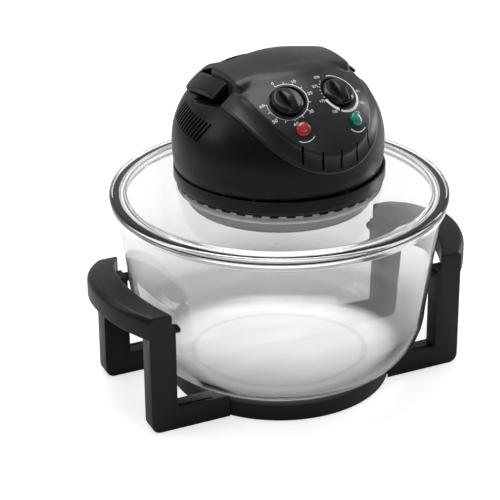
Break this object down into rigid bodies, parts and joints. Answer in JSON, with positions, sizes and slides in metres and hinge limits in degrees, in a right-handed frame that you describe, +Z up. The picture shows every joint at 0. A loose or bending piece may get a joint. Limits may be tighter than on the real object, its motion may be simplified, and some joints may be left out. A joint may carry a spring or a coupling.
{
  "type": "halogen oven",
  "caption": "Countertop halogen oven: clear bowl in a black two-handled stand, lift-off glass lid with heater drum, domed control head, knobs and swing-up carrying handle.",
  "frame": {"origin": "centre of the footprint, on the table", "axes": "+Z up, -Y front, X through the two side handles"},
  "size_m": [0.391, 0.33, 0.3365],
  "materials": {
    "ring_plastic": "satin black moulding",
    "frame_plastic": "satin charcoal moulding",
    "peg_plastic": "soft satin black",
    "screw_steel": "zinc plated",
    "bowl_glass": "clear, polished",
    "lid_glass": "clear, polished",
    "gasket_silicone": "translucent grey silicone",
    "clamp_steel": "brushed",
    "drum_steel": "brushed grey",
    "insulation_wool": "matt felt",
    "reflector_aluminium": "polished",
    "tube_quartz": "clear quartz",
    "filament_tungsten": "dull wire",
    "cap_ceramic": "off-white glazed ceramic",
    "clip_steel": "spring steel",
    "guard_chrome": "bright chrome wire",
    "head_plastic": "semi-gloss black moulding",
    "base_plastic": "semi-gloss black moulding",
    "panel_plastic": "gloss black moulding with white scales",
    "red_lens": "clear red",
    "green_lens": "clear green",
    "lamp_plastic": "off-white",
    "timer_case": "pale grey",
    "thermostat_case": "plated steel",
    "probe_copper": "copper tube",
    "cutout_steel": "stamped cap",
    "terminal_plastic": "ivory",
    "wire_insulation": "red and flexible",
    "gland_rubber": "matt black",
    "bracket_steel": "zinc plated sheet",
    "core_steel": "stacked sheet steel",
    "coil_copper": "enamelled copper",
    "bearing_bronze": "sintered bronze",
    "switch_plastic": "dark blue",
    "plunger_plastic": "red",
    "handle_plastic": "semi-gloss black moulding",
    "pin_steel": "turned",
    "cam_plastic": "off-white",
    "knob_plastic": "gloss black",
    "rotor_steel": "turned",
    "fan_aluminium": "pressed sheet"
  },
  "bodies": {
    "stand": {"base_ring": "ring_plastic", "left_side_frame": "frame_plastic", "right_side_frame": "frame_plastic", "bowl_pegs": "peg_plastic", "stand_screws": "screw_steel"},
    "bowl": {"glass_bowl": "bowl_glass"},
    "lid": {"glass_lid": "lid_glass", "lid_gasket": "gasket_silicone", "clamp_ring": "clamp_steel", "heater_drum": "drum_steel", "insulation_disc": "insulation_wool", "reflector": "reflector_aluminium", "halogen_tube": "tube_quartz", "tube_filament": "filament_tungsten", "tube_end_caps": "cap_ceramic", "tube_clips": "clip_steel", "fan_guard": "guard_chrome", "drum_screws": "screw_steel", "head_base": "base_plastic", "head_cover": "head_plastic", "panel_cover": "panel_plastic", "head_screws": "screw_steel", "power_lamp_lens": "red_lens", "heat_lamp_lens": "green_lens", "lamp_bodies": "lamp_plastic", "timer_body": "timer_case", "thermostat_body": "thermostat_case", "thermostat_probe": "probe_copper", "thermal_cutout": "cutout_steel", "terminal_block": "terminal_plastic", "wiring": "wire_insulation", "cord_gland": "gland_rubber", "motor_bracket": "bracket_steel", "motor_core": "core_steel", "motor_coil": "coil_copper", "motor_bridge": "bracket_steel", "motor_bearings": "bearing_bronze", "motor_screws": "screw_steel", "safety_switch": "switch_plastic", "switch_bracket": "bracket_steel"},
    "handle": {"carry_handle": "handle_plastic", "handle_pins": "pin_steel", "switch_cam": "cam_plastic", "pin_clip": "clip_steel"},
    "plunger": {"switch_plunger": "plunger_plastic"},
    "timer_dial": {"timer_knob": "knob_plastic", "timer_shaft": "pin_steel"},
    "thermostat_dial": {"thermostat_knob": "knob_plastic", "thermostat_shaft": "pin_steel"},
    "rotor": {"motor_shaft": "pin_steel", "motor_rotor": "rotor_steel", "cooling_fan": "fan_aluminium", "hot_air_fan": "fan_aluminium", "fan_nut": "screw_steel"}
  },
  "joints": [
    {"name": "bowl_lift", "type": "slide", "parent": "stand", "child": "bowl", "axis": [0, 0, 1], "range_m": [0, 0.12]},
    {"name": "lid_lift", "type": "slide", "parent": "bowl", "child": "lid", "axis": [0, 0, 1], "range_m": [0, 0.12]},
    {"name": "handle_swing", "type": "hinge", "parent": "lid", "child": "handle", "pos_m": [0.00011, -0.002, 0.313], "axis": [0.9986, 0.0523, 0], "range_deg": [0, 98]},
    {"name": "plunger_slide", "type": "slide", "parent": "lid", "child": "plunger", "axis": [0, 0, 1], "range_m": [0, 0.003]},
    {"name": "timer_turn", "type": "hinge", "parent": "lid", "child": "timer_dial", "pos_m": [-0.02238, -0.06328, 0.31256], "axis": [-0.0278, 0.4709, -0.8817], "range_deg": [0, 300]},
    {"name": "thermostat_turn", "type": "hinge", "parent": "lid", "child": "thermostat_dial", "pos_m": [0.03083, -0.06042, 0.31187], "axis": [-0.1191, 0.4565, -0.8817], "range_deg": [0, 270]},
    {"name": "rotor_spin", "type": "hinge", "parent": "lid", "child": "rotor", "pos_m": [0, 0, 0.2], "axis": [0, 0, 1], "continuous": true}
  ],
  "couplings": [
    {"joint": "plunger_slide", "follows": "handle_swing", "m_per_rad": 0.0017189}
  ]
}
